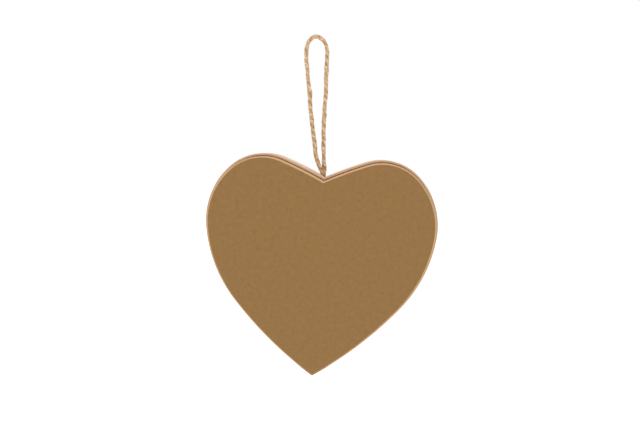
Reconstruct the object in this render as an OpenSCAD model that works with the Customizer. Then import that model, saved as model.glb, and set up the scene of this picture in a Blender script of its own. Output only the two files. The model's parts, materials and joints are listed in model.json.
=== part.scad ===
// Heart-shaped card box with a twine hanging loop and a key-wound musical movement inside.
// Millimetres, +Z up as the box hangs, front towards -Y. The origin is the inner top of the loop.

/* [Heart box] */
// Width of the lid's heart across its lobes
heart_w = 120; // [116:1:126]
// Depth of the whole box, front to back
box_depth = 32; // [30:1:36]
// Depth of the lid, front face to open edge
lid_depth = 7.6; // [7:0.2:9]
// Gap between the lid's open edge and the base wall
reveal = 0.4; // [0.35:0.05:0.6]
// How far the base stands out beyond the lid all round
base_step = 1.5; // [1.2:0.1:1.6]
// Thickness of the greyboard in faces and walls
board_t = 1.5; // [1.3:0.1:1.6]
// Thickness of the kraft paper wrap
paper_t = 0.3; // [0.2:0.05:0.35]
// Thickness of the inner collar strip
collar_t = 1.0; // [0.8:0.1:1.2]
// Gap between collar and lid wall
lid_gap = 0.2; // [0.15:0.05:0.3]
// Margin round the face sheet, where the wall paper turns over the edge
face_margin = 0.6; // [0.5:0.05:0.8]

/* [Twine loop] */
// Diameter of the twine
twine_d = 1.8; // [1.6:0.1:2.0]
// Diameter of the twine hole in the notch
twine_hole_d = 4.4; // [4.2:0.1:4.8]
// Depth of the twine hole behind the front face
twine_hole_depth = 23.8; // [23:0.2:24.6]

/* [Movement] */
// Bedplate length
plate_l = 52; // [52:1:56]
// Bedplate width
plate_w = 42; // [42:1:46]
// Bedplate thickness
plate_t = 2; // [1.8:0.1:2.2]
// Height of the movement's centre below the notch
movement_drop = 45; // [42:1:48]
// Number of comb teeth and tune tracks
notes = 18; // [12:1:18]
// Width across the key's wings
key_w = 26; // [22:1:28]

/* [Hidden] */
$fn = 48;

// Place of the heart in the frame: its middle plane and the lowest point of the lid's notch
heart_x = 9.5;
notch_z = -75.9;
front_y = -twine_hole_depth;
back_y = front_y + box_depth;
lid_y = front_y + lid_depth;
base_y = lid_y + reveal;
touch_gap = 0.05;
collar_y = front_y + paper_t + board_t + touch_gap;

// Half outline from the notch to the tip: a chain of arcs, each turning clockwise
nominal_w = 119.2;
outline_scale = heart_w / nominal_w;
start_heading = 26.4;
arc_radii = [228, 24.6, 36.5, 71, 203.5];
arc_turns = [6.2, 62.8, 54, 34, 20];
arc_step = 2;

function heading(i) = i == 0 ? start_heading : heading(i - 1) - arc_turns[i - 1];
function arc_centre(i) = i == 0
  ? arc_radii[0] * [sin(start_heading), -cos(start_heading)]
  : arc_centre(i - 1) + (arc_radii[i] - arc_radii[i - 1]) * [sin(heading(i)), -cos(heading(i))];
function on_arc(i, r, a) = outline_scale * arc_centre(i) + r * [cos(a), sin(a)];

// Angles at which the inset first and last arcs cross the middle plane
function first_angle(r) = acos(-outline_scale * arc_centre(0)[0] / r);
function last_angle(r) = -acos(-outline_scale * arc_centre(4)[0] / r);
function arc_from(i, r) = i == 0 ? first_angle(r) : heading(i) + 90;
function arc_to(i, r) = i == 4 ? last_angle(r) : heading(i + 1) + 90;
function half_outline(inset) = [
  for (i = [0:4])
    let (
      r = outline_scale * arc_radii[i] - inset,
      a0 = arc_from(i, r),
      a1 = arc_to(i, r),
      n = ceil((a0 - a1) * PI / 180 * r / arc_step)
    )
    for (k = [0:(i == 4 ? n : n - 1)]) on_arc(i, r, a0 + (a1 - a0) * k / n)
];
function mirrored(p) = [for (i = [len(p) - 2:-1:1]) [-p[i][0], p[i][1]]];

module heart(inset) {
  half = half_outline(inset);
  polygon(concat(half, mirrored(half)));
}

// Extrudes a shape drawn in the X-Z plane from y0 to y1
module along_y(y0, y1) {
  translate([0, y1, 0]) rotate([90, 0, 0]) linear_extrude(y1 - y0) children();
}
module heart_plate(inset, y0, y1) {
  translate([heart_x, 0, notch_z]) along_y(y0, y1) heart(inset);
}
module heart_ring(inset, thickness, y0, y1) {
  translate([heart_x, 0, notch_z]) along_y(y0, y1) difference() {
    heart(inset);
    heart(inset + thickness);
  }
}

// Twine
hole_x = heart_x - 0.9;
pivot_z = -72.9;
strand_ends = [[-0.4, -0.85], [0.4, 0.85]];
TWINE_ROUTE = [
  [8.2, -0.85, -72.9], [7.4, -0.9, -71.2], [6.1, -0.9, -68.6], [4.5, -0.9, -64.7],
  [3.4, -0.8, -60.6], [2.5, -0.7, -55.4], [1.3, -0.6, -49.3], [0.1, -0.4, -43.1],
  [-0.9, -0.2, -35.9], [-1.8, 0, -28.7], [-2.8, 0.1, -21.5], [-3.8, 0.1, -14.8],
  [-4.4, 0.1, -9.7], [-4.6, 0.1, -6.1], [-4.2, 0, -3.3], [-3, 0, -1], [-1.4, 0, 0.3],
  [0.2, 0, 0.9], [2.7, 0, 0.3], [4.8, 0, -1.4], [6.1, 0, -4.3], [6.8, 0, -8.6], [7, 0, -14.4],
  [7.1, -0.1, -21.5], [7.1, -0.1, -28.7], [7.1, 0.1, -35.9], [7, 0.3, -43], [7.2, 0.6, -49.2],
  [7.5, 0.8, -55.3], [7.9, 0.9, -61.5], [8.2, 0.95, -66.6], [9, 0.85, -72.9]
];
TWINE_SIDES = 8;

// Movement frame: u along X, v along Z, w forward from the back board
inner_y = back_y - paper_t - board_t;
move_x = heart_x + 1;
move_z = notch_z - movement_drop;

// Gear train
m_gear = 0.3;
axis_w = 9.8;
row_v = 3;
barrel_u = -14.5;
crown_r = 9.8;
crown_teeth = 36;
pinion_teeth = 12;
pinion_r = crown_r * pinion_teeth / crown_teeth;
cyl_teeth = 50;
gov_pinion_teeth = 10;
gov_teeth = 30;
mesh_slack = 0.06;
gov_drop = 2.6;
gov_dist = m_gear * (cyl_teeth + gov_pinion_teeth) / 2 + mesh_slack;
gov_v = row_v + sqrt(gov_dist * gov_dist - gov_drop * gov_drop);
gov_w = axis_w - gov_drop;
mesh_a = atan2(gov_v - row_v, gov_drop);
gov_wheel_u = 22.1;
gov_wheel_t = 1;
worm_r = 1.45;
worm_throw = 0.3;
worm_v = gov_v + m_gear * gov_teeth / 2 + 1.5;
worm_lead = PI * m_gear;

// Barrel and key
barrel_r = 8.7;
barrel_t = 0.5;
wheel_t = 1.2;
crown_plane = axis_w - pinion_r;
crown_h = 1.1;
wheel_w0 = crown_plane - crown_h / 2 - wheel_t;
wheel_w1 = wheel_w0 + wheel_t;
barrel_w1 = 18;
arbor_r = 1.6;
hub_r = 2.45;
boss_r = 2.8;
run_gap = 0.05;
key_t = 1.4;

// Cylinder and comb
drum_r = 6.5;
drum_u0 = -2;
drum_l = 19;
pin_r = 0.2;
pin_h = 0.8;
pins_per_track = 5;
track_gap = 0.95;
shaft_r = 0.9;
cyl_gear_u = 17.4;
gear_t = 1;
tip_gap = 0.15;
comb_v = row_v - drum_r - pin_h - tip_gap;
comb_w = 9.3;
comb_t = 0.9;
comb_l = 18.5;
comb_base_v = -12;
comb_end_v = -20.5;
tooth_w = 0.66;
tooth_root = 0.5;
tooth_growth = 0.12;
first_track_u = drum_u0 + 1.4;
comb_rest_w = 7;
comb_screw_v = comb_end_v + comb_rest_w / 2;
comb_screws_u = [1.5, 14];
plate_screws_uv = [[-23, -18], [-23, 18], [8, 18]];
bearing_us = [-3.6, 19.1];
bearing_t = 1.2;
bearing_foot_v = row_v - 9.5;
bearing_foot_w = 3.6;
bearing_foot_t = 1.2;
bearing_screw_v = bearing_foot_v + bearing_foot_w / 2;

// Screws: shank radii of the three sizes, and the clearance holes of the largest
plate_screw_r = 1.1;
comb_screw_r = 0.8;
small_screw_r = 0.7;
screw_hole_r = 1.3;
slot_w = 0.6;
slot_depth = 0.5;

// How far a cutting solid passes the face it opens, and how far touching solids are sunk together
cut = 1;
sink = 0.01;

module in_movement() {
  translate([move_x, inner_y, move_z]) rotate([90, 0, 0]) children();
}
// A round bar along u, centred on (v, w)
module bar_u(u0, u1, v, w, r) {
  translate([u0, v, w]) rotate([0, 90, 0]) cylinder(h = u1 - u0, r = r);
}
module screw(shank_r, shank_l, head_r, head_h) {
  translate([0, 0, -shank_l]) cylinder(h = shank_l + sink, r = shank_r);
  difference() {
    cylinder(h = head_h, r = head_r);
    translate([-head_r, -slot_w / 2, head_h - slot_depth]) cube([2 * head_r, slot_w, cut]);
  }
}

// Involute spur gear outline, thinned by slack
pressure_a = 20;
dedendum = 1.2;
flank_steps = 3;
function involute(base, t) = base * [cos(t) + t * PI / 180 * sin(t), sin(t) - t * PI / 180 * cos(t)];
function roll(base, r) = sqrt(max(0, r * r / (base * base) - 1)) * 180 / PI;
function turned(p, a) = [p[0] * cos(a) - p[1] * sin(a), p[0] * sin(a) + p[1] * cos(a)];
function flank_angle(base, r) = let (p = involute(base, roll(base, r))) atan2(p[1], p[0]);
module gear_2d(teeth, module_, slack, addendum = 0.9) {
  pitch = teeth * module_ / 2;
  base = pitch * cos(pressure_a);
  root = pitch - dedendum * module_;
  tip = pitch + addendum * module_;
  half = 90 / teeth - slack / 2 / pitch * 180 / PI + flank_angle(base, pitch);
  radii = [for (k = [0:flank_steps]) max(base, root) + (tip - max(base, root)) * k / flank_steps];
  polygon([
    for (i = [0:teeth - 1])
      let (a = i * 360 / teeth)
      for (q = concat(
        [turned([root, 0], a - 180 / teeth * 0.98), turned([root, 0], a - half)],
        [for (r = radii) turned([r, 0], a - half + flank_angle(base, r))],
        [for (k = [flank_steps:-1:0]) turned([radii[k], 0], a + half - flank_angle(base, radii[k]))],
        [turned([root, 0], a + half)]
      )) q
  ]);
}

// ---- Twine ----
function unit(v) = v / norm(v);
function tangent(p, i) = unit(p[min(i + 1, len(p) - 1)] - p[max(i - 1, 0)]);
function side(t) = unit(cross(t, [0, 1, 0]));
module sweep_tube(path, r, sides) {
  rings = [
    for (i = [0:len(path) - 1])
      let (t = tangent(path, i), n = side(t), b = cross(t, n))
      for (k = [0:sides - 1])
        let (a = (k + 0.5) * 360 / sides) path[i] + r * (cos(a) * n + sin(a) * b)
  ];
  last = len(path) - 1;
  polyhedron(rings, concat(
    [[for (k = [0:sides - 1]) k]],
    [[for (k = [sides - 1:-1:0]) last * sides + k]],
    [
      for (i = [0:last - 1])
        for (k = [0:sides - 1])
          let (j = (k + 1) % sides)
          [i * sides + k, (i + 1) * sides + k, (i + 1) * sides + j, i * sides + j]
    ]
  ));
}
module twine_loop() {
  color("tan") sweep_tube(TWINE_ROUTE, twine_d / 2, TWINE_SIDES);
}
knot_r = 2.8;
stub_z = pivot_z - 1.6;
knot_gap = 0.6;
knot_z = notch_z - (paper_t + board_t + collar_t) / cos(start_heading) - knot_r - knot_gap;
module twine_knot() {
  color("tan") {
    for (p = strand_ends)
      translate([hole_x + p[0], p[1], knot_z]) cylinder(h = stub_z - knot_z, r = twine_d / 2);
    translate([hole_x, 0, knot_z]) sphere(knot_r);
  }
}
hole_reach = 12;
module twine_hole() {
  translate([hole_x, 0, notch_z - hole_reach]) cylinder(h = 2 * hole_reach, r = twine_hole_d / 2);
}

// ---- Box base ----
// Width of the wall paper's lip, turned over the base's front edge
turn_w = 0.9;
module base_wall() {
  color("burlywood") difference() {
    heart_ring(paper_t - base_step, board_t + base_step, base_y, inner_y);
    twine_hole();
  }
}
module wall_paper() {
  color("peru") difference() {
    union() {
      heart_ring(-base_step, paper_t, base_y, back_y - paper_t);
      heart_ring(-base_step, turn_w, base_y - paper_t, base_y);
    }
    twine_hole();
  }
}
collar_inset = paper_t + board_t;
module inner_collar() {
  color("burlywood") difference() {
    heart_ring(collar_inset, collar_t, collar_y, inner_y);
    twine_hole();
  }
}
module at_plate_screws() {
  for (p = plate_screws_uv) translate([p[0], p[1], 0]) children();
}
key_hole_r = 3.2;
back_cut = 4;
module back_holes() {
  in_movement() translate([0, 0, -back_cut]) {
    translate([barrel_u, row_v, 0]) cylinder(h = back_cut + sink, r = key_hole_r);
    at_plate_screws() cylinder(h = back_cut + sink, r = screw_hole_r);
  }
}
module back_board() {
  color("burlywood") difference() {
    heart_plate(paper_t - base_step, inner_y, back_y - paper_t);
    back_holes();
  }
}
module back_paper() {
  color("peru") difference() {
    heart_plate(-base_step, back_y - paper_t, back_y);
    back_holes();
  }
}

// ---- Lid ----
lid_wall_t = board_t - lid_gap;
// How far the lid paper's turned lip lies behind the face sheet
turn_step = 0.1;
module lid_board() {
  color("burlywood") heart_plate(paper_t, front_y + paper_t, front_y + paper_t + board_t);
}
module face_paper() {
  color("peru") heart_plate(face_margin, front_y, front_y + paper_t);
}
module lid_wall() {
  color("burlywood") heart_ring(paper_t, lid_wall_t, front_y + paper_t + board_t, lid_y);
}
module lid_paper() {
  color("peru") {
    heart_ring(0, paper_t, front_y + paper_t, lid_y);
    heart_ring(0, face_margin, front_y + turn_step, front_y + paper_t);
  }
}

// ---- Bedplate and fasteners ----
module rounded_plate(l, w, t, r) {
  linear_extrude(t) difference() {
    square([l, w], center = true);
    for (sx = [-1, 1])
      for (sy = [-1, 1])
        translate([sx * (l / 2 - r), sy * (w / 2 - r)]) scale([sx, sy]) difference() {
          square(r + cut);
          circle(r);
        }
  }
}
plate_corner_r = 4;
drum_slot_l = 20.9;
drum_slot_w = 11;
comb_tap_l = 5;
washer_t = 0.4;
washer_r = 3.5;
washer_w = -paper_t - board_t - washer_t;
module bedplate() {
  color("silver") in_movement() difference() {
    union() {
      rounded_plate(plate_l, plate_w, plate_t, plate_corner_r);
      translate([drum_u0 - 0.5, comb_end_v, plate_t]) cube([comb_l + 1, comb_rest_w, comb_w - plate_t]);
      translate([barrel_u, row_v, plate_t]) cylinder(h = wheel_w0 - plate_t - run_gap, r = boss_r);
    }
    translate([barrel_u, row_v, -cut]) cylinder(h = wheel_w0 + 2 * cut, r = arbor_r + run_gap);
    translate([drum_u0 - 0.2, row_v - drum_slot_w / 2, -cut])
      cube([drum_slot_l, drum_slot_w, plate_t + 2 * cut]);
    at_plate_screws() translate([0, 0, -cut]) cylinder(h = plate_t + 2 * cut, r = plate_screw_r);
    for (u = comb_screws_u)
      translate([u, comb_screw_v, comb_w - comb_tap_l]) cylinder(h = comb_tap_l + cut, r = comb_screw_r);
  }
}
module plate_screws() {
  color("silver") in_movement() at_plate_screws()
    translate([0, 0, washer_w]) mirror([0, 0, 1]) screw(plate_screw_r, 4.2, 2.4, 1.3);
}
module plate_washers() {
  color("silver") in_movement() at_plate_screws()
    translate([0, 0, washer_w]) difference() {
      cylinder(h = washer_t, r = washer_r);
      translate([0, 0, -cut]) cylinder(h = washer_t + 2 * cut, r = screw_hole_r);
    }
}

// ---- Spring barrel ----
module on_barrel_axis() {
  in_movement() translate([barrel_u, row_v, 0]) children();
}
module spring_barrel() {
  color("gold") on_barrel_axis() difference() {
    translate([0, 0, wheel_w1]) cylinder(h = barrel_w1 - wheel_w1, r = barrel_r);
    translate([0, 0, wheel_w1 + barrel_t]) cylinder(h = barrel_w1, r = barrel_r - barrel_t);
    cylinder(h = barrel_w1, r = arbor_r + run_gap);
  }
}
cover_t = 0.6;
cover_holes = 3;
module barrel_cover() {
  color("gold") on_barrel_axis() translate([0, 0, barrel_w1 - cover_t]) difference() {
    cylinder(h = cover_t, r = barrel_r - barrel_t);
    translate([0, 0, -cut]) {
      cylinder(h = cover_t + 2 * cut, r = arbor_r + run_gap);
      for (i = [0:cover_holes - 1])
        rotate(i * 360 / cover_holes) translate([5, 0, 0]) cylinder(h = cover_t + 2 * cut, r = 1.2);
    }
  }
}
crown_tooth_t = 0.55;
crown_tooth_l = 1.7;
crown_rim = 1;
module great_wheel() {
  color("gold") on_barrel_axis() difference() {
    union() {
      translate([0, 0, wheel_w0]) cylinder(h = wheel_t, r = crown_r + crown_rim);
      for (i = [0:crown_teeth - 1])
        rotate((i + 0.5) * 360 / crown_teeth) translate([crown_r - 0.8, 0, wheel_w1 - sink])
          rotate([90, 0, 90]) linear_extrude(crown_tooth_l)
            polygon([[-crown_tooth_t / 2, 0], [crown_tooth_t / 2, 0],
                     [crown_tooth_t / 4, crown_h], [-crown_tooth_t / 4, crown_h]]);
    }
    cylinder(h = barrel_w1, r = arbor_r + run_gap);
  }
}
coil_turns = 7;
coil_r0 = 2.6;
coil_r1 = 7.9;
coil_step = 15;
strip_t = 0.25;
function coil_r(a) = coil_r0 + (coil_r1 - coil_r0) * a / (360 * coil_turns);
module mainspring() {
  angles = [for (a = [0:coil_step:360 * coil_turns]) a];
  color("steelblue") on_barrel_axis() translate([0, 0, wheel_w1 + barrel_t + 0.3])
    linear_extrude(barrel_w1 - wheel_w1 - barrel_t - 1.2) polygon(concat(
      [for (a = angles) coil_r(a) * [cos(a), sin(a)]],
      [for (i = [len(angles) - 1:-1:0]) (coil_r(angles[i]) + strip_t) * [cos(angles[i]), sin(angles[i])]]
    ));
}
arbor_top = barrel_w1 + 0.8;
key_gap = 3;
key_hub_l = 9;
key_hub_r = 2.9;
key_socket_w = 2;
wing_r = 6.5;
wing_hole_r = 3.4;
wing_bridge_w = 6;
key_w0 = -paper_t - board_t - key_gap - key_hub_l;
// The slot in the arbor's hub that hooks the mainspring's inner end
hook_slot = 1;
module winding_arbor() {
  color("silver") on_barrel_axis() difference() {
    union() {
      translate([0, 0, key_w0 + key_socket_w])
        cylinder(h = arbor_top - key_w0 - key_socket_w, r = arbor_r);
      translate([0, 0, wheel_w1 + 1]) cylinder(h = barrel_w1 - wheel_w1 - 2.2, r = hub_r);
    }
    translate([hub_r - hook_slot / 2, -hook_slot / 2, wheel_w1 + 2]) cube([hook_slot, hook_slot, 8]);
  }
}
// A close-wound wrap spring round the bedplate's boss: the arbor turns one way only
clutch_coils = 3;
clutch_wire_r = 0.35;
clutch_pitch = 0.6;
clutch_gap = 0.02;
module clutch_spring() {
  color("steelblue") on_barrel_axis() rotate_extrude() for (i = [0:clutch_coils - 1])
    translate([boss_r + clutch_wire_r + clutch_gap, plate_t + 0.5 + i * clutch_pitch])
      circle(clutch_wire_r);
}
module winding_key() {
  wing_x = key_w / 2 - wing_r;
  color("gold") on_barrel_axis() difference() {
    union() {
      translate([0, 0, key_w0]) cylinder(h = key_hub_l, r = key_hub_r);
      translate([0, key_t / 2, key_w0 - 2]) rotate([90, 0, 0]) linear_extrude(key_t) difference() {
        union() {
          for (s = [-1, 1]) translate([s * wing_x, 0]) circle(wing_r);
          square([2 * wing_x, wing_bridge_w], center = true);
        }
        for (s = [-1, 1]) translate([s * wing_x, 0]) circle(wing_hole_r);
      }
    }
    translate([0, 0, key_w0 + key_socket_w]) cylinder(h = key_hub_l, r = arbor_r);
  }
}

// ---- Cylinder ----
drum_t = 0.7;
drum_end_t = 0.8;
module tune_cylinder() {
  color("gold") in_movement() difference() {
    bar_u(drum_u0, drum_u0 + drum_l, row_v, axis_w, drum_r);
    bar_u(drum_u0 + drum_end_t, drum_u0 + drum_l - drum_end_t, row_v, axis_w, drum_r - drum_t);
    bar_u(drum_u0 - cut, drum_u0 + drum_l + cut, row_v, axis_w, shaft_r);
  }
}
// A spread of pins that never falls into rows; it isn't a tune
function pin_angle(track, i) = (track * 47 + i * (61 + 5 * (track % 3))) % 360;
module cylinder_pins() {
  color("silver") in_movement() for (t = [0:notes - 1])
    for (i = [0:pins_per_track - 1])
      translate([first_track_u + t * track_gap, row_v, axis_w]) rotate([pin_angle(t, i), 0, 0])
        translate([0, 0, drum_r]) cylinder(h = pin_h, r = pin_r, $fn = 14);
}
pinion_l = 1.8;
pinion_u = barrel_u + crown_r - pinion_l / 2;
arbor_end = 0.5;
module cylinder_arbor() {
  color("silver") in_movement()
    bar_u(pinion_u, bearing_us[1] + bearing_t + arbor_end, row_v, axis_w, shaft_r);
}
module gear_u(u0, t, v, w, bore) {
  translate([u0, v, w]) rotate([0, 90, 0]) linear_extrude(t) difference() {
    children();
    circle(bore);
  }
}
module cylinder_pinion() {
  color("gold") in_movement() gear_u(pinion_u, pinion_l, row_v, axis_w, shaft_r)
    gear_2d(pinion_teeth, 2 * pinion_r / pinion_teeth, 0.45, 0.7);
}
module cylinder_gear() {
  color("gold") in_movement() gear_u(cyl_gear_u, gear_t, row_v, axis_w, shaft_r)
    gear_2d(cyl_teeth, m_gear, 0.14, 0.75);
}
bearing_r = 2;
bearing_foot_l = 4;
module cylinder_bearings() {
  color("silver") in_movement() for (u = bearing_us) difference() {
    union() {
      translate([u, row_v - bearing_r, plate_t]) cube([bearing_t, 2 * bearing_r, axis_w - plate_t]);
      bar_u(u, u + bearing_t, row_v, axis_w, bearing_r);
      translate([u, bearing_foot_v, plate_t])
        cube([bearing_t, row_v - bearing_r + 0.1 - bearing_foot_v, bearing_foot_t]);
      translate([u + bearing_t / 2 - bearing_foot_l / 2, bearing_foot_v, plate_t])
        cube([bearing_foot_l, bearing_foot_w, bearing_foot_t]);
    }
    bar_u(u - cut, u + bearing_t + cut, row_v, axis_w, shaft_r + run_gap);
    translate([u + bearing_t / 2, bearing_screw_v, plate_t - cut])
      cylinder(h = bearing_foot_t + 2 * cut, r = small_screw_r);
  }
}
module bearing_screws() {
  color("silver") in_movement() for (u = bearing_us)
    translate([u + bearing_t / 2, bearing_screw_v, plate_t + bearing_foot_t])
      screw(small_screw_r, bearing_foot_t, 1.3, 0.8);
}

// ---- Comb ----
module comb() {
  color("lightsteelblue") in_movement() difference() {
    union() {
      translate([drum_u0, comb_end_v, comb_w]) cube([comb_l, comb_base_v - comb_end_v, comb_t]);
      for (t = [0:notes - 1])
        let (root_l = tooth_root + t * tooth_growth)
          translate([first_track_u + t * track_gap - tooth_w / 2, comb_base_v - root_l, comb_w])
            cube([tooth_w, comb_v - comb_base_v + root_l, comb_t]);
    }
    for (u = comb_screws_u)
      translate([u, comb_screw_v, comb_w - cut]) cylinder(h = comb_t + 2 * cut, r = comb_screw_r + 0.3);
  }
}
module comb_screws() {
  color("silver") in_movement() for (u = comb_screws_u)
    translate([u, comb_screw_v, comb_w + comb_t]) screw(comb_screw_r, 4, 2, 1.2);
}

// ---- Governor ----
frame_u0 = 14.6;
frame_u1 = 25.5;
frame_w1 = 19.2;
foot_t = 1;
wall_t = 1.2;
frame_v0 = gov_v - 0.9;
frame_v1 = worm_v + 3.2;
post_h = 7.2;
post_w = 2.4;
arm_l = 10.5;
arm_w = 5;
wheel_slot_l = 12;
gov_screw_u = frame_u0 + 3;
gov_screw_v = worm_v + 0.5;
gov_arbor_r = 0.6;
worm_arbor_r = 0.5;
module governor_frame() {
  color("silver") in_movement() difference() {
    union() {
      translate([frame_u0, frame_v0, plate_t]) cube([frame_u1 - frame_u0, frame_v1 - frame_v0, foot_t]);
      translate([frame_u0, frame_v0, plate_t]) cube([wall_t, frame_v1 - frame_v0, frame_w1 - plate_t]);
      translate([frame_u0, worm_v - arm_w / 2, frame_w1 - wall_t]) cube([arm_l, arm_w, wall_t]);
      translate([frame_u1 - wall_t, frame_v0, plate_t]) cube([wall_t, post_w, post_h]);
    }
    translate([gov_wheel_u - gov_wheel_t, gov_v - wheel_slot_l / 2, plate_t - cut])
      cube([2 * gov_wheel_t, wheel_slot_l, foot_t + 2 * cut]);
    translate([gov_wheel_u, worm_v, 0]) cylinder(h = frame_w1 + cut, r = worm_arbor_r + run_gap);
    bar_u(frame_u0 - cut, frame_u1 + cut, gov_v, gov_w, gov_arbor_r + run_gap);
    translate([gov_screw_u, gov_screw_v, plate_t - cut])
      cylinder(h = foot_t + 2 * cut, r = small_screw_r);
  }
}
module governor_screws() {
  color("silver") in_movement() translate([gov_screw_u, gov_screw_v, plate_t + foot_t])
    screw(small_screw_r, 0.95, 1.3, 0.8);
}
module governor_arbor() {
  color("silver") in_movement() bar_u(frame_u0, frame_u1, gov_v, gov_w, gov_arbor_r);
}
module governor_pinion() {
  color("gold") in_movement() gear_u(cyl_gear_u, gear_t, gov_v, gov_w, gov_arbor_r)
    rotate(6 * mesh_a + 162) gear_2d(gov_pinion_teeth, m_gear, 0.14, 0.7);
}
module governor_wheel() {
  color("gold") in_movement()
    gear_u(gov_wheel_u - gov_wheel_t / 2, gov_wheel_t, gov_v, gov_w, gov_arbor_r)
      rotate(90) gear_2d(gov_teeth, m_gear, 0.2);
}
worm_l = 5;
worm_slices = 44;
worm_end_gap = 0.2;
module worm() {
  turns = worm_l / worm_lead;
  arbor_l = frame_w1 - plate_t - 2 * worm_end_gap;
  color("silver") in_movement() translate([gov_wheel_u, worm_v, 0]) {
    translate([0, 0, plate_t + worm_end_gap]) cylinder(h = arbor_l, r = worm_arbor_r, $fn = 16);
    translate([0, 0, gov_w - worm_l / 2]) rotate(90 - 180 * turns)
      linear_extrude(worm_l, twist = -360 * turns, slices = worm_slices)
        translate([worm_throw, 0]) circle(worm_r, $fn = 14);
  }
}
vane_w0 = 12.2;
vane_h = 5.4;
vane_l = 9.2;
vane_t = 0.6;
vane_edge = 0.4;
module air_brake() {
  color("ivory") in_movement() translate([gov_wheel_u, worm_v, vane_w0]) difference() {
    union() {
      cylinder(h = vane_h, r = 1.1);
      translate([-vane_l / 2, -vane_t / 2, vane_edge]) cube([vane_l, vane_t, vane_h - 2 * vane_edge]);
    }
    translate([0, 0, -cut]) cylinder(h = vane_h + 2 * cut, r = worm_arbor_r);
  }
}
module end_cap() {
  color("gold") in_movement() translate([gov_wheel_u, worm_v, frame_w1]) cylinder(h = 0.8, r = 1.6);
}

twine_loop();
twine_knot();
base_wall();
wall_paper();
inner_collar();
back_board();
back_paper();
lid_board();
face_paper();
lid_wall();
lid_paper();
bedplate();
plate_screws();
plate_washers();
spring_barrel();
barrel_cover();
great_wheel();
mainspring();
winding_arbor();
clutch_spring();
winding_key();
tune_cylinder();
cylinder_pins();
cylinder_arbor();
cylinder_pinion();
cylinder_gear();
cylinder_bearings();
bearing_screws();
comb();
comb_screws();
governor_frame();
governor_screws();
governor_arbor();
governor_pinion();
governor_wheel();
worm();
air_brake();
end_cap();
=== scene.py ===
"""A heart-shaped kraft box on a jute twine loop, with a wind-up movement inside."""

import json
import math
import random

import bpy
import bmesh
from mathutils import Matrix, Vector, noise


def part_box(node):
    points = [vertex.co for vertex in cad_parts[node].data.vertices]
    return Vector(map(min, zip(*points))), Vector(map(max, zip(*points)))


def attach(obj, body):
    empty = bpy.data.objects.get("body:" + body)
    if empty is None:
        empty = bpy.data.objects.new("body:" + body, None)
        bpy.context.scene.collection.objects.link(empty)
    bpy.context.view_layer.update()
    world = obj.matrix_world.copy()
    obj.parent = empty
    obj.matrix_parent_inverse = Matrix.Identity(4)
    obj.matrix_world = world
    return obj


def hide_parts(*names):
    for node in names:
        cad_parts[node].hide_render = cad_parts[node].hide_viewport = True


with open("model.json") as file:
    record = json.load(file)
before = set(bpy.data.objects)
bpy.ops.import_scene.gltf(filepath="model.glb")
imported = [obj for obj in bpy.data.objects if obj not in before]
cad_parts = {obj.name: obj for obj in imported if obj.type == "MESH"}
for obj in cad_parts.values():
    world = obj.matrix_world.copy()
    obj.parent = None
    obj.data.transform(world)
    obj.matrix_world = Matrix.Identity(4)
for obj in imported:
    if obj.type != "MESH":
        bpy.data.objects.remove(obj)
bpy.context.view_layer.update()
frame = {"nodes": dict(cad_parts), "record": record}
nodes = frame["nodes"]
MM = 0.001

# ---------------------------------------------------------------- places taken from the frame
FACE_LO, FACE_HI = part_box("face_paper")
LID_LO, LID_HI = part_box("lid_paper")
HEART_X = (LID_LO.x + LID_HI.x) / 2
HEART_W = LID_HI.x - LID_LO.x
FRONT_Y, LID_Y = FACE_LO.y, LID_HI.y
TIP_Z = LID_LO.z

# ---------------------------------------------------------------- heart outline
START_HEADING = 26.4
ARC_RADII = [228 * MM, 24.6 * MM, 36.5 * MM, 71 * MM, 203.5 * MM]
ARC_TURNS = [6.2, 62.8, 54, 34, 20]
ARC_STEPS = [12, 26, 26, 26, 30]
NOMINAL_W = 119.2 * MM
SCALE = HEART_W / NOMINAL_W


def arc_chain():
    """(centre x, centre z, radius, start angle, end angle) of each arc of the right half, notch to tip."""
    arcs, x, z, heading = [], 0.0, 0.0, START_HEADING
    for radius, turn in zip(ARC_RADII, ARC_TURNS):
        radius *= SCALE
        cx = x + radius * math.sin(math.radians(heading))
        cz = z - radius * math.cos(math.radians(heading))
        a0, a1 = heading + 90, heading + 90 - turn
        arcs.append((cx, cz, radius, a0, a1))
        x = cx + radius * math.cos(math.radians(a1))
        z = cz + radius * math.sin(math.radians(a1))
        heading -= turn
    return arcs


ARCS = arc_chain()


def half_outline(inset):
    """The right half of the outline, notch to tip, moved in by the inset."""
    points = []
    for i, (cx, cz, radius, a0, a1) in enumerate(ARCS):
        r = radius - inset
        if i == 0:
            a0 = math.degrees(math.acos(-cx / r))
        if i == len(ARCS) - 1:
            a1 = -math.degrees(math.acos(-cx / r))
        steps = ARC_STEPS[i]
        last = i == len(ARCS) - 1
        for k in range(steps + 1 if last else steps):
            a = math.radians(a0 + (a1 - a0) * k / steps)
            points.append((cx + r * math.cos(a), cz + r * math.sin(a)))
    points[0] = (0.0, points[0][1])
    points[-1] = (0.0, points[-1][1])
    return points


NOTCH_Z = TIP_Z - half_outline(0)[-1][1]


def outline(inset):
    """The whole outline, clockwise from the notch, as points (x, z) of the model."""
    half = half_outline(inset)
    whole = half + [(-x, z) for x, z in reversed(half[1:-1])]
    return [(HEART_X + x, NOTCH_Z + z) for x, z in whole]


# ---------------------------------------------------------------- mesh helpers
def add_object(name, mesh):
    obj = bpy.data.objects.new(name, mesh)
    bpy.context.scene.collection.objects.link(obj)
    return obj


def mesh_from(name, vertices, faces, sharp_angle=35):
    mesh = bpy.data.meshes.new(name)
    mesh.from_pydata(vertices, [], faces)
    mesh.validate()
    mesh.polygons.foreach_set("use_smooth", [True] * len(mesh.polygons))
    mesh.set_sharp_from_angle(angle=math.radians(sharp_angle))
    return add_object(name, mesh)


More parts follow.
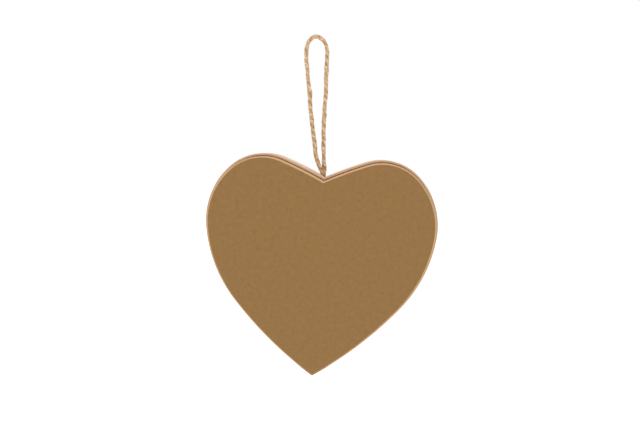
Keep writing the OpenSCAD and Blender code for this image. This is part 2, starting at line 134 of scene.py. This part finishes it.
def heart_loft(name, profile, closed=True, cap_first=False, cap_last=False):
    """Lofts the (inset, y) points of a cross-section along the heart's outline."""
    rings = [outline(inset) for inset, _ in profile]
    count = len(rings[0])
    vertices = [(x, y, z) for ring, (_, y) in zip(rings, profile) for x, z in ring]
    faces = []
    spans = len(profile) if closed else len(profile) - 1
    for i in range(spans):
        j = (i + 1) % len(profile)
        for k in range(count):
            n = (k + 1) % count
            faces.append((i * count + k, i * count + n, j * count + n, j * count + k))
    if cap_first:
        faces.append(tuple(reversed(range(count))))
    if cap_last:
        faces.append(tuple(range((len(profile) - 1) * count, len(profile) * count)))
    obj = mesh_from(name, vertices, faces)
    bm = bmesh.new()
    bm.from_mesh(obj.data)
    bmesh.ops.recalc_face_normals(bm, faces=bm.faces)
    bm.to_mesh(obj.data)
    bm.free()
    return obj


def corner(inset, y, radius, start, end, steps=5):
    """Points of a rounded corner in the (inset, y) plane, about its centre, by angle in degrees."""
    points = []
    for k in range(steps + 1):
        a = math.radians(start + (end - start) * k / steps)
        points.append((inset + radius * math.cos(a), y + radius * math.sin(a)))
    return points


# ---------------------------------------------------------------- materials
class Shader:
    """A small builder for node materials."""

    def __init__(self, name):
        self.material = bpy.data.materials.new(name)
        self.material.use_nodes = True
        self.tree = self.material.node_tree
        self.bsdf = self.tree.nodes["Principled BSDF"]

    def node(self, kind, **values):
        made = self.tree.nodes.new(kind)
        for key, value in values.items():
            if key in made.inputs:
                made.inputs[key].default_value = value
            else:
                setattr(made, key, value)
        return made

    def link(self, output, socket):
        self.tree.links.new(output, socket)

    def coordinates(self, scale=(1, 1, 1), uv=False):
        source = self.node("ShaderNodeTexCoord")
        mapping = self.node("ShaderNodeMapping")
        mapping.inputs["Scale"].default_value = scale
        self.link(source.outputs["UV" if uv else "Object"], mapping.inputs["Vector"])
        return mapping.outputs["Vector"]

    def noise(self, vector, scale, detail=4.0, rough=0.55, distortion=0.0):
        made = self.node(
            "ShaderNodeTexNoise", Scale=scale, Detail=detail, Roughness=rough, Distortion=distortion,
        )
        self.link(vector, made.inputs["Vector"])
        return made.outputs["Fac"]

    def ramp(self, factor, stops):
        made = self.node("ShaderNodeValToRGB")
        elements = made.color_ramp.elements
        while len(elements) < len(stops):
            elements.new(0.5)
        for element, (place, colour) in zip(elements, stops):
            element.position = place
            element.color = (*colour, 1)
        self.link(factor, made.inputs["Fac"])
        return made.outputs["Color"]

    def mix(self, factor, a, b, mode="MIX"):
        made = self.node("ShaderNodeMix", data_type="RGBA", blend_type=mode)
        for socket, value in (("Factor", factor), ("A", a), ("B", b)):
            target = next(
                s for s in made.inputs if s.name == socket and s.type in ("RGBA", "VALUE") and s.enabled
            )
            if isinstance(value, (int, float)):
                target.default_value = value
            elif isinstance(value, tuple):
                target.default_value = (*value, 1)
            else:
                self.link(value, target)
        return next(s for s in made.outputs if s.enabled)

    def scaled(self, value, low, high, out_low=0.0, out_high=1.0):
        made = self.node("ShaderNodeMapRange")
        ends = {"From Min": low, "From Max": high, "To Min": out_low, "To Max": out_high}
        for key, number in ends.items():
            made.inputs[key].default_value = number
        self.link(value, made.inputs["Value"])
        return made.outputs["Result"]

    def product(self, a, b):
        made = self.node("ShaderNodeMath", operation="MULTIPLY")
        self.link(a, made.inputs[0])
        self.link(b, made.inputs[1])
        return made.outputs["Value"]

    def bump(self, height, strength, distance):
        made = self.node("ShaderNodeBump", Strength=strength, Distance=distance)
        self.link(height, made.inputs["Height"])
        self.link(made.outputs["Normal"], self.bsdf.inputs["Normal"])

    def set(self, **values):
        for key, value in values.items():
            self.bsdf.inputs[key.replace("_", " ")].default_value = value


def srgb(*channels):
    """Linear colour of an 8-bit display colour."""
    shares = [c / 255 for c in channels]
    return tuple(c / 12.92 if c <= 0.04045 else ((c + 0.055) / 1.055) ** 2.4 for c in shares)


def shade(tone, *factors):
    """The tone made lighter or darker by one factor, or by one for each channel."""
    if len(factors) == 1:
        factors *= 3
    return tuple(min(1, c * k) for c, k in zip(tone, factors))


# Painted shade: a darker red-brown on the lid's rounded front edge near the tip, standing for the shade on
# its downward-facing side.
TIP_SHADE_H = 7 * MM
TIP_SHADE_TONE = srgb(120, 62, 36)


def tip_painted_shade(s, ground):
    """The paper's colour with painted shade along the lid's rounded front edge near the tip, where the
    edge turns down away from the light.
    """
    place = s.node("ShaderNodeSeparateXYZ")
    s.link(s.coordinates(), place.inputs["Vector"])
    low = s.scaled(place.outputs["Z"], TIP_Z + TIP_SHADE_H, TIP_Z + 0.7 * TIP_SHADE_H)
    behind_face = s.scaled(place.outputs["Y"], FRONT_Y + 0.12 * MM, FRONT_Y + 0.14 * MM)
    front = s.scaled(place.outputs["Y"], FRONT_Y + 1.1 * MM, FRONT_Y + 0.6 * MM)
    return s.mix(s.product(s.product(low, behind_face), front), ground, TIP_SHADE_TONE)


def paper(name, tone, mottle, fleck, painted_tip_shade=False):
    """Unbleached kraft paper: a felted ground, faint long fibres, a few darker and redder flecks, and
    painted shade near the lid's tip when asked.
    """
    s = Shader(name)
    place = s.coordinates()
    cloud = s.noise(place, 420, 5, 0.62)
    ground = s.ramp(cloud, [(0.3, shade(tone, 1 - mottle)), (0.7, shade(tone, 1 + mottle))])
    streak = s.noise(s.coordinates((1, 1, 0.18)), 2600, 3, 0.6, 0.6)
    ground = s.mix(s.scaled(streak, 0.60, 0.72, 0, 0.16), ground, shade(tone, 1.35))
    cross = s.noise(s.coordinates((0.2, 1, 1)), 2300, 3, 0.6, 0.8)
    ground = s.mix(s.scaled(cross, 0.62, 0.75, 0, 0.14), ground, shade(tone, 0.72))
    red = s.noise(place, 520, 3, 0.6)
    ground = s.mix(s.scaled(red, 0.5, 0.7, 0, 0.8), ground, shade(tone, 1.09, 0.97, 0.86))
    green = s.noise(s.coordinates((1, 1, 1.02)), 610, 3, 0.6)
    ground = s.mix(s.scaled(green, 0.5, 0.7, 0, 0.8), ground, shade(tone, 0.95, 1.03, 1.16))
    speck = s.noise(place, 800, 2, 0.5)
    ground = s.mix(s.scaled(speck, 0.60, 0.72, 0, 0.5), ground, fleck)
    # Painted shade on the lid's rounded edge near the tip
    if painted_tip_shade:
        ground = tip_painted_shade(s, ground)
    s.link(ground, s.bsdf.inputs["Base Color"])
    s.bump(s.noise(place, 1900, 5, 0.65), 0.35, 0.00006)
    s.set(Roughness=0.82, Specular_IOR_Level=0.22)
    return s.material


def board(name, tone):
    """Greyboard: pressed pulp with long fibres and dark and light specks."""
    s = Shader(name)
    place = s.coordinates()
    ground = s.ramp(s.noise(place, 420, 6, 0.62), [(0.25, shade(tone, 0.82)), (0.75, shade(tone, 1.14))])
    dark = s.noise(place, 1500, 3, 0.6)
    ground = s.mix(s.scaled(dark, 0.60, 0.70, 0, 0.5), ground, shade(tone, 0.45))
    pale = s.noise(s.coordinates((1, 0.3, 1)), 2100, 3, 0.6)
    ground = s.mix(s.scaled(pale, 0.62, 0.72, 0, 0.45), ground, (0.72, 0.66, 0.56))
    s.link(ground, s.bsdf.inputs["Base Color"])
    s.bump(s.noise(place, 1300, 6, 0.7), 0.5, 0.0001)
    s.set(Roughness=0.9, Specular_IOR_Level=0.2)
    return s.material


def jute(name):
    """Jute: fibres along each ply, pale and dark, with a soft sheen and painted shade in the hollows
    between the plies.
    """
    s = Shader(name)
    along = s.coordinates((34, 4, 1), uv=True)
    fibre = s.noise(along, 1.0, 5, 0.65)
    colour = s.ramp(fibre, [
        (0.28, srgb(148, 112, 76)), (0.45, srgb(188, 152, 111)),
        (0.6, srgb(211, 183, 148)), (0.75, srgb(232, 212, 184)),
    ])
    patch = s.noise(s.coordinates((1, 7, 1), uv=True), 1.0, 3, 0.5)
    colour = s.mix(s.scaled(patch, 0.5, 0.66, 0, 0.6), colour, srgb(180, 138, 96))
    pale = s.noise(s.coordinates((1.3, 5, 1), uv=True), 1.0, 2, 0.5)
    colour = s.mix(s.scaled(pale, 0.52, 0.66, 0, 0.7), colour, srgb(240, 225, 204))
    round_ply = s.node("ShaderNodeSeparateXYZ")
    s.link(s.coordinates(uv=True), round_ply.inputs["Vector"])
    # Painted shade: round each ply the colour is multiplied darker towards its inner side, where it meets
    # the other ply, by a strength that varies along the twine.
    crest, flank, hollow, inside = (1, 1, 1), (0.95, 0.93, 0.91), (0.62, 0.54, 0.45), (0.4, 0.32, 0.24)
    groove_shade = s.ramp(round_ply.outputs["X"], [
        (0.0, crest), (0.14, flank), (0.25, hollow), (0.5, inside),
        (0.75, hollow), (0.86, flank), (1.0, crest),
    ])
    groove_shade_depth = s.scaled(s.noise(s.coordinates((0.5, 5, 1), uv=True), 1.0, 2, 0.5), 0.38, 0.62, 0.1, 1.0)
    colour = s.mix(groove_shade_depth, colour, groove_shade, "MULTIPLY")
    s.link(colour, s.bsdf.inputs["Base Color"])
    s.bump(s.noise(s.coordinates((60, 6, 1), uv=True), 1.0, 4, 0.6), 0.8, 0.00012)
    s.set(Roughness=0.75, Specular_IOR_Level=0.25, Sheen_Weight=0.15, Sheen_Roughness=0.5)
    return s.material


def metal(name, tone, rough, wear=0.1, grain=(1, 1, 1), scale=700, bump=0.00002, coat=0.0):
    """Metal with fine tool marks: grain stretches them, wear varies the gloss."""
    s = Shader(name)
    marks = s.noise(s.coordinates(grain), scale, 5, 0.6)
    blotch = s.noise(s.coordinates(), 120, 4, 0.55)
    colour = s.ramp(blotch, [(0.3, shade(tone, 0.84)), (0.7, shade(tone, 1.08))])
    s.link(colour, s.bsdf.inputs["Base Color"])
    s.link(s.scaled(marks, 0.3, 0.7, max(0.05, rough - wear), rough + wear), s.bsdf.inputs["Roughness"])
    s.bump(marks, 0.3, bump)
    s.set(Metallic=1.0, Coat_Weight=coat)
    return s.material


def nylon(name):
    s = Shader(name)
    place = s.coordinates()
    colour = s.ramp(s.noise(place, 300, 3), [(0.3, (0.72, 0.69, 0.60)), (0.7, (0.80, 0.78, 0.70))])
    s.link(colour, s.bsdf.inputs["Base Color"])
    s.bump(s.noise(place, 2500, 3), 0.2, 0.00003)
    s.set(Roughness=0.42, Subsurface_Weight=0.15, Subsurface_Scale=0.001)
    return s.material


FACE_TONE = srgb(136, 103, 61)
# Painted light: the wall and base tones are the face's kraft painted paler, standing for the light from
# above and the grazing sheen. The base's tone is raised further against the shade on its lip.
LIT_WALL_TONE = srgb(187, 153, 114)
LIT_BASE_TONE = srgb(201, 173, 144)
KRAFT_FACE = paper("kraft_face", FACE_TONE, 0.10, srgb(134, 84, 46))
KRAFT_WALL_LIT = paper("kraft_wall_painted_light", LIT_WALL_TONE, 0.04, srgb(160, 112, 80), painted_tip_shade=True)
KRAFT_BASE_LIT = paper("kraft_base_painted_light", LIT_BASE_TONE, 0.04, srgb(180, 142, 110))
KRAFT_BACK = paper("kraft_back", srgb(158, 124, 84), 0.04, srgb(128, 84, 52))
GREYBOARD = board("greyboard", (0.42, 0.34, 0.25))
# Painted shade: the collar and the base wall are greyboard darkened to a red-brown, standing for the
# shadow in the gap and the step between lid and base.
COLLAR_GAP_SHADE = board("collar_painted_shade", (0.30, 0.155, 0.095))
STEP_SHADE_BOARD = board("base_step_painted_shade", (0.44, 0.20, 0.11))
JUTE = jute("jute")
BRASS = metal("brass", (0.80, 0.58, 0.26), 0.32, 0.1, (1, 1, 6))
KEY_BRASS = metal("key_brass", (0.78, 0.60, 0.32), 0.22, 0.08, (1, 4, 1), coat=0.2)
STEEL = metal("nickel_steel", (0.66, 0.66, 0.67), 0.3, 0.1, (6, 1, 1))
BLUED = metal("blued_steel", (0.12, 0.15, 0.24), 0.34, 0.08, (1, 1, 5))
ZINC = metal("zinc_casting", (0.56, 0.56, 0.55), 0.46, 0.12, (1, 1, 1), 1100, 0.00006)
NYLON = nylon("nylon")

MATERIALS = {
    "greyboard": GREYBOARD,
    "kraft_paper": KRAFT_BACK,
    "jute_twine": JUTE,
    "zinc": ZINC,
    "steel": STEEL,
    "blued_steel": BLUED,
    "brass": BRASS,
    "key_brass": KEY_BRASS,
    "nylon": NYLON,
}

# ---------------------------------------------------------------- camera
CAMERA_DISTANCE = 0.448
LENS = 48.48
AZIMUTH, ELEVATION, ROLL = (math.radians(a) for a in (1.76, 4.39, 3.42))
AIM = Vector((HEART_X - 0.82 * MM, FRONT_Y, NOTCH_Z - 16.55 * MM))


def make_camera():
    back = Vector((
        math.sin(AZIMUTH) * math.cos(ELEVATION),
        -math.cos(AZIMUTH) * math.cos(ELEVATION),
        math.sin(ELEVATION),
    ))
    right = Vector((math.cos(AZIMUTH), math.sin(AZIMUTH), 0))
    up = back.cross(right)
    rolled_right = right * math.cos(ROLL) + up * math.sin(ROLL)
    rolled_up = up * math.cos(ROLL) - right * math.sin(ROLL)
    data = bpy.data.cameras.new("camera")
    data.lens = LENS
    data.sensor_width = 36
    camera = add_object("camera", data)
    turn = Matrix((rolled_right, rolled_up, back)).transposed()
    camera.matrix_world = Matrix.Translation(AIM + CAMERA_DISTANCE * back) @ turn.to_4x4()
    bpy.context.scene.camera = camera


make_camera()

# ---------------------------------------------------------------- twine loop
ROUTE_MM = [
    (8.2, -0.85, -72.9), (7.4, -0.9, -71.2), (6.1, -0.9, -68.6), (4.5, -0.9, -64.7),
    (3.4, -0.8, -60.6), (2.5, -0.7, -55.4), (1.3, -0.6, -49.3), (0.1, -0.4, -43.1),
    (-0.9, -0.2, -35.9), (-1.8, 0, -28.7), (-2.8, 0.1, -21.5), (-3.8, 0.1, -14.8),
    (-4.4, 0.1, -9.7), (-4.6, 0.1, -6.1), (-4.2, 0, -3.3), (-3, 0, -1), (-1.4, 0, 0.3),
    (0.2, 0, 0.9), (2.7, 0, 0.3), (4.8, 0, -1.4), (6.1, 0, -4.3), (6.8, 0, -8.6), (7, 0, -14.4),
    (7.1, -0.1, -21.5), (7.1, -0.1, -28.7), (7.1, 0.1, -35.9), (7, 0.3, -43), (7.2, 0.6, -49.2),
    (7.5, 0.8, -55.3), (7.9, 0.9, -61.5), (8.2, 0.95, -66.6), (9, 0.85, -72.9),
]
RINGS_PER_MM = 4

# A ply's turn, its distance from the strand's middle and its half sizes
PLIES = 2
PLY_PITCH = 9.0 * MM
PLY_OFFSET = 0.40 * MM
PLY_OUT = 0.72 * MM
PLY_ACROSS = 0.98 * MM
PLY_SIDES = 18
UV_LENGTH = 10 * MM
UV_SHIFT = 3.7

# How uneven the twine is: turn in radians, shares of a ply's offset, size and ridges, sway of the strand
UNEVEN_TWIST, UNEVEN_OFFSET, UNEVEN_SIZE = 1.7, 0.3, 0.26
TWIST_RUN, SWAY_RUN, PLY_RUN, RIDGE_RUN = 11 * MM, 9 * MM, 6 * MM, 3 * MM
WANDER_GAIN = 1.6
FIBRE_BUNDLES = 5
WINDING = 0.9 * MM
RIDGE = 0.05
STRAND_SWAY = 0.26 * MM

# At the hole the loop's ends sink by the tuck, squeezed over the throat
TUCK = 1.3 * MM
THROAT = 5.5 * MM
THROAT_SQUEEZE = 0.62

# Stray fibres: how many, rings left bare at each end, spans of a hair, where it starts, how it thins
HAIRS = 700
HAIR_MARGIN = 16
HAIR_SPANS = 5
HAIR_ROOT = 0.75 * MM
HAIR_TAPER = 0.7
HAIR_LENGTH, HAIR_THICK = (0.8, 2.6), (0.02, 0.05)
HAIR_LIFT, HAIR_BEND = (0.1, 0.55), (-0.5, 0.5)


def smooth_path(points, per_span):
    """A Catmull-Rom curve through the points."""
    points = [Vector(p) for p in points]
    ends = [points[0] * 2 - points[1]] + points + [points[-1] * 2 - points[-2]]
    path = []
    for i in range(1, len(ends) - 2):
        p0, p1, p2, p3 = ends[i - 1:i + 3]
        for k in range(per_span):
            t = k / per_span
            path.append(0.5 * (
                2 * p1 + (p2 - p0) * t + (2 * p0 - 5 * p1 + 4 * p2 - p3) * t * t
                + (3 * p1 - p0 - 3 * p2 + p3) * t ** 3
            ))
    path.append(points[-1])
    return path


def even_path(path, step):
    """The same path with points a fixed step apart."""
    even, left = [path[0]], step
    for a, b in zip(path, path[1:]):
        span = (b - a).length
        while left <= span:
            a = a + (b - a) * (left / span)
            span = (b - a).length
            even.append(a.copy())
            left = step
        left -= span
    even.append(path[-1])
    return even


def frames_along(path):
    """(point, side, side) triples, with the sides carried along without twist."""
    side = Vector((0, 1, 0))
    made = []
    for i, p in enumerate(path):
        t = (path[min(i + 1, len(path) - 1)] - path[max(i - 1, 0)]).normalized()
        side = (side - t * side.dot(t)).normalized()
        made.append((p, side, t.cross(side)))
    return made


def wander(seed, x, scale):
    """A smooth random value, about -1 to 1, that changes over the scale along x."""
    return noise.noise(Vector((x / scale, seed * 17.3, seed * 5.1))) * WANDER_GAIN


def throat_squeeze(from_end, throat):
    """How much thinner the strand is at this distance from its end."""
    if not throat:
        return 1
    return min(1, THROAT_SQUEEZE + (1 - THROAT_SQUEEZE) * from_end / throat)


def ply_ring(frame_at, run, squeeze, start_turn, ply, seed):
    """The points round one ply at one place of the strand."""
    p, a, b = frame_at
    turn = start_turn - 2 * math.pi * run / PLY_PITCH + UNEVEN_TWIST * wander(3 + seed, run, TWIST_RUN)
    outward = a * math.cos(turn) + b * math.sin(turn)
    across = b * math.cos(turn) - a * math.sin(turn)
    sway = a * wander(31 + seed, run, SWAY_RUN) + b * wander(37 + seed, run, SWAY_RUN)
    offset = PLY_OFFSET * (1 + UNEVEN_OFFSET * wander(5 + ply, run, PLY_RUN))
    centre = p + squeeze * (sway * STRAND_SWAY + outward * offset)
    swell = squeeze * (1 + UNEVEN_SIZE * wander(9 + ply + seed, run, PLY_RUN))
    ring = []
    for k in range(PLY_SIDES):
        around = 2 * math.pi * k / PLY_SIDES
        winding = math.cos(FIBRE_BUNDLES * around - run / WINDING)
        ridge = 1 + RIDGE * (winding + wander(20 + ply + k, run, RIDGE_RUN))
        rim = PLY_OUT * outward * math.cos(around) + PLY_ACROSS * across * math.sin(around)
        ring.append(centre + swell * ridge * rim)
    return ring


def tube_faces(base, rings, step, v_start):
    """Faces and UVs of one ply's tube: u runs round the ply, v along it, and both ends are closed."""
    faces, uvs = [], []
    for i in range(rings - 1):
        low, high = base + i * PLY_SIDES, base + (i + 1) * PLY_SIDES
        v0, v1 = (v_start + j * step / UV_LENGTH for j in (i, i + 1))
        for k in range(PLY_SIDES):
            n = (k + 1) % PLY_SIDES
            faces.append((low + k, low + n, high + n, high + k))
            u0, u1 = k / PLY_SIDES, (k + 1) / PLY_SIDES
            uvs.append(((u0, v0), (u1, v0), (u1, v1), (u0, v1)))
    last = base + (rings - 1) * PLY_SIDES
    faces.append(tuple(base + k for k in reversed(range(PLY_SIDES))))
    faces.append(tuple(last + k for k in range(PLY_SIDES)))
    uvs += [[(k / PLY_SIDES, 0) for k in range(PLY_SIDES)]] * 2
    return faces, uvs


def twisted_strand(name, paths, seed=0, throat=0.0):
    """Two plies wound round each path, each an uneven bundle of fibres.

    They are squeezed together over the throat, a length at both ends.
    """
    vertices, faces, uvs = [], [], []
    for path in paths:
        frames = frames_along(path)
        step = (path[1] - path[0]).length
        for ply in range(PLIES):
            base = len(vertices)
            start_turn = 2 * math.pi * ply / PLIES
            for i, frame_at in enumerate(frames):
                squeeze = throat_squeeze(min(i, len(frames) - 1 - i) * step, throat)
                vertices += ply_ring(frame_at, i * step, squeeze, start_turn, ply, seed)
            ply_faces, ply_uvs = tube_faces(base, len(frames), step, ply * UV_SHIFT)
            faces += ply_faces
            uvs += ply_uvs
    mesh = bpy.data.meshes.new(name)
    mesh.from_pydata(vertices, [], faces)
    mesh.polygons.foreach_set("use_smooth", [True] * len(mesh.polygons))
    layer = mesh.uv_layers.new(name="UVMap")
    layer.data.foreach_set("uv", [c for face in uvs for corner_uv in face for c in corner_uv])
    strand = add_object(name, mesh)
    strand.data.materials.append(JUTE)
    return strand


def stray_fibres(name, path, count, seed):
    """Fine hairs that stand off the twine, each a thin bent tube."""
    rng = random.Random(seed)
    frames = frames_along(path)
    vertices, faces = [], []
    for _ in range(count):
        i = rng.randrange(HAIR_MARGIN, len(frames) - HAIR_MARGIN)
        p, a, b = frames[i]
        t = a.cross(b) * rng.choice((-1, 1))
        turn = rng.uniform(0, 2 * math.pi)
        outward = a * math.cos(turn) + b * math.sin(turn)
        across = b * math.cos(turn) - a * math.sin(turn)
        length = rng.uniform(*HAIR_LENGTH) * MM
        lift = rng.uniform(*HAIR_LIFT)
        bend = rng.uniform(*HAIR_BEND)
        thick = rng.uniform(*HAIR_THICK) * MM
        base = len(vertices)
        for k in range(HAIR_SPANS + 1):
            s = k / HAIR_SPANS
            curl = (outward * lift + across * bend) * s * s
            centre = p + outward * HAIR_ROOT + length * (t * s + curl)
            for q in range(3):
                w = 2 * math.pi * q / 3
                rim = outward * math.cos(w) + across * math.sin(w)
                vertices.append(centre + thick * (1 - HAIR_TAPER * s) * rim)
        for k in range(HAIR_SPANS):
            low, high = base + 3 * k, base + 3 * k + 3
            for q in range(3):
                n = (q + 1) % 3
                faces.append((low + q, low + n, high + n, high + q))
        faces.append((base + 2, base + 1, base))
        faces.append(tuple(base + 3 * HAIR_SPANS + q for q in range(3)))
    hairs = mesh_from(name, vertices, faces, 180)
    hairs.data.materials.append(FIBRE)
    return hairs


def fibre_material():
    s = Shader("jute_fibre")
    patch = s.noise(s.coordinates(), 300, 2)
    colour = s.ramp(patch, [(0.3, srgb(196, 164, 124)), (0.7, srgb(226, 202, 170))])
    s.link(colour, s.bsdf.inputs["Base Color"])
    s.set(Roughness=0.7, Specular_IOR_Level=0.2)
    return s.material


FIBRE = fibre_material()
loop_path = even_path(smooth_path([[c * MM for c in p] for p in ROUTE_MM], 12), MM / RINGS_PER_MM)
sunk_path = [loop_path[0] - Vector((0, 0, TUCK))] + loop_path + [loop_path[-1] - Vector((0, 0, TUCK))]
sunk_path = even_path(sunk_path, MM / RINGS_PER_MM)
twine = twisted_strand("twine", [sunk_path], throat=THROAT)
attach(twine, "hanger")
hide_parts("twine_loop")
hairs = stray_fibres("twine_hairs", loop_path, HAIRS, 4)
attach(hairs, "hanger")
KNOT_LO, KNOT_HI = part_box("twine_knot")
KNOT_R = 2.8 * MM
KNOT_SIZE = 0.58 * MM
KNOT_SPANS = 120
knot_centre = Vector(((KNOT_LO.x + KNOT_HI.x) / 2, (KNOT_LO.y + KNOT_HI.y) / 2, KNOT_LO.z + KNOT_R))


def knot_path():
    """An overhand knot pulled tight: a closed three-crossing curve."""
    points = []
    for k in range(KNOT_SPANS + 1):
        t = 2 * math.pi * k / KNOT_SPANS
        x = math.sin(t) + 2 * math.sin(2 * t)
        y = 1.3 * math.sin(3 * t)
        z = math.cos(t) - 2 * math.cos(2 * t)
        points.append(knot_centre + KNOT_SIZE * Vector((x, y, z)))
    return points


def stub_path(end):
    """One short end from the knot up into the twine hole, under the loop's strand."""
    top = Vector((end.x, end.y, KNOT_HI.z))
    foot = knot_centre + Vector(((end.x - knot_centre.x) * 0.6, end.y * 0.6, 0.9 * KNOT_R))
    return even_path(smooth_path([foot, foot.lerp(top, 0.5), top], 8), MM / RINGS_PER_MM)


knot = twisted_strand("knot", [knot_path(), stub_path(loop_path[0]), stub_path(loop_path[-1])], 3)
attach(knot, "case")
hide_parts("twine_knot")

# ---------------------------------------------------------------- paper skins
PAPER = 0.3 * MM
FACE_INSET = 0.68 * MM
FACE_STEP = 0.12 * MM
SHEET_BORDER = 1.5 * MM
RIM_R = 0.45 * MM
HEM_R = 0.14 * MM
TUCK_IN = 2.5 * MM
TUCK_T = 0.6 * PAPER


def face_sheet():
    """The front sheet, laid on the board inside the wrapped edge, with its own softened edge."""
    back = FRONT_Y + PAPER
    profile = [
        (FACE_INSET, back),
        *corner(FACE_INSET + FACE_STEP, FRONT_Y + FACE_STEP, FACE_STEP, 180, 270, 3),
        (FACE_INSET + SHEET_BORDER, FRONT_Y),
    ]
    sheet = heart_loft("face_sheet", profile, closed=False, cap_first=True, cap_last=True)
    sheet.data.materials.append(KRAFT_FACE)
    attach(sheet, "lid")
    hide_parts("face_paper")


def lid_wrap():
    """The strip round the lid's wall, turned over the front edge and tucked under the face sheet."""
    tuck = FRONT_Y + FACE_STEP
    profile = [
        (FACE_INSET + TUCK_IN, tuck),
        *corner(RIM_R, tuck + RIM_R, RIM_R, 270, 180, 6),
        *corner(HEM_R, LID_Y - HEM_R, HEM_R, 180, 90, 3),
        (PAPER, LID_Y),
        (PAPER, tuck + RIM_R + PAPER),
        (PAPER + RIM_R, tuck + TUCK_T),
        (FACE_INSET + TUCK_IN, tuck + TUCK_T),
    ]
    wrap = heart_loft("lid_wrap", profile)
    wrap.data.materials.append(KRAFT_WALL_LIT)
    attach(wrap, "lid")
    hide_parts("lid_paper")


face_sheet()
lid_wrap()

# ---------------------------------------------------------------- CAD nodes: materials and softened edges
# The collar and base wall take the painted-shade boards. The base's wrap takes the kraft painted paler for
# light and sheen.
OWN_MATERIAL = {"wall_paper": KRAFT_BASE_LIT, "inner_collar": COLLAR_GAP_SHADE, "base_wall": STEP_SHADE_BOARD}
SOFT_EDGES = {
    "paper": (0.12 * MM, 2), "cardboard": (0.15 * MM, 2), "brushed_steel": (0.08 * MM, 2),
    "brass": (0.08 * MM, 2), "matte_plastic": (0.15 * MM, 2),
}
SHARP_NODES = {
    "cylinder_pins", "worm", "mainspring", "clutch_spring",
    "cylinder_gear", "governor_pinion", "governor_wheel",
}
SLOT_CLASS = {m["slot"]: m["class"] for m in frame["record"]["materials"]}


def soften(obj, width, segments):
    """Rounds the object's sharp edges a little."""
    bevel = obj.modifiers.new("soft_edges", "BEVEL")
    bevel.width = width
    bevel.segments = segments
    bevel.limit_method = "ANGLE"
    bevel.angle_limit = math.radians(40)
    bevel.harden_normals = True


for entry in frame["record"]["subparts"]:
    name, slot = entry["node"], entry["material_slot"]
    obj = nodes[name]
    obj.data.materials.clear()
    obj.data.materials.append(OWN_MATERIAL.get(name, MATERIALS[slot]))
    if SLOT_CLASS[slot] in SOFT_EDGES and name not in SHARP_NODES:
        soften(obj, *SOFT_EDGES[SLOT_CLASS[slot]])

# ---------------------------------------------------------------- stage
FLOOR_DROP = 0.5
FLOOR_HALF = 12


def make_stage():
    s = Shader("floor_white")
    white = s.ramp(s.noise(s.coordinates(), 4, 2), [(0.3, (0.93, 0.93, 0.93)), (0.7, (0.95, 0.95, 0.95))])
    s.link(white, s.bsdf.inputs["Base Color"])
    s.set(Roughness=0.9, Emission_Color=(1, 1, 1, 1), Emission_Strength=0.35)
    z, half = TIP_Z - FLOOR_DROP, FLOOR_HALF
    corners = [(-half, -half, z), (half, -half, z), (half, half, z), (-half, half, z)]
    floor = mesh_from("floor", corners, [(0, 1, 2, 3)])
    floor.data.materials.append(s.material)


def area_light(name, place, target, size, power, colour=(1, 1, 1)):
    data = bpy.data.lights.new(name, "AREA")
    data.shape = "DISK"
    data.size = size
    data.energy = power
    data.color = colour
    lamp = add_object(name, data)
    lamp.location = place
    lamp.rotation_mode = "QUATERNION"
    lamp.rotation_quaternion = (Vector(target) - Vector(place)).to_track_quat("-Z", "Y")


def make_lights():
    world = bpy.data.worlds.new("studio")
    bpy.context.scene.world = world
    world.use_nodes = True
    sky = world.node_tree.nodes["Background"]
    sky.inputs["Color"].default_value = (1, 1, 1, 1)
    sky.inputs["Strength"].default_value = 1.0
    centre = (HEART_X, 0, NOTCH_Z - 0.04)
    area_light("key", (-0.35, -0.7, 0.75), centre, size=0.5, power=1.5)
    area_light("top", (0.15, 0.05, 0.8), centre, size=0.6, power=3.0)


make_stage()
make_lights()
bpy.context.scene.view_settings.view_transform = "Standard"
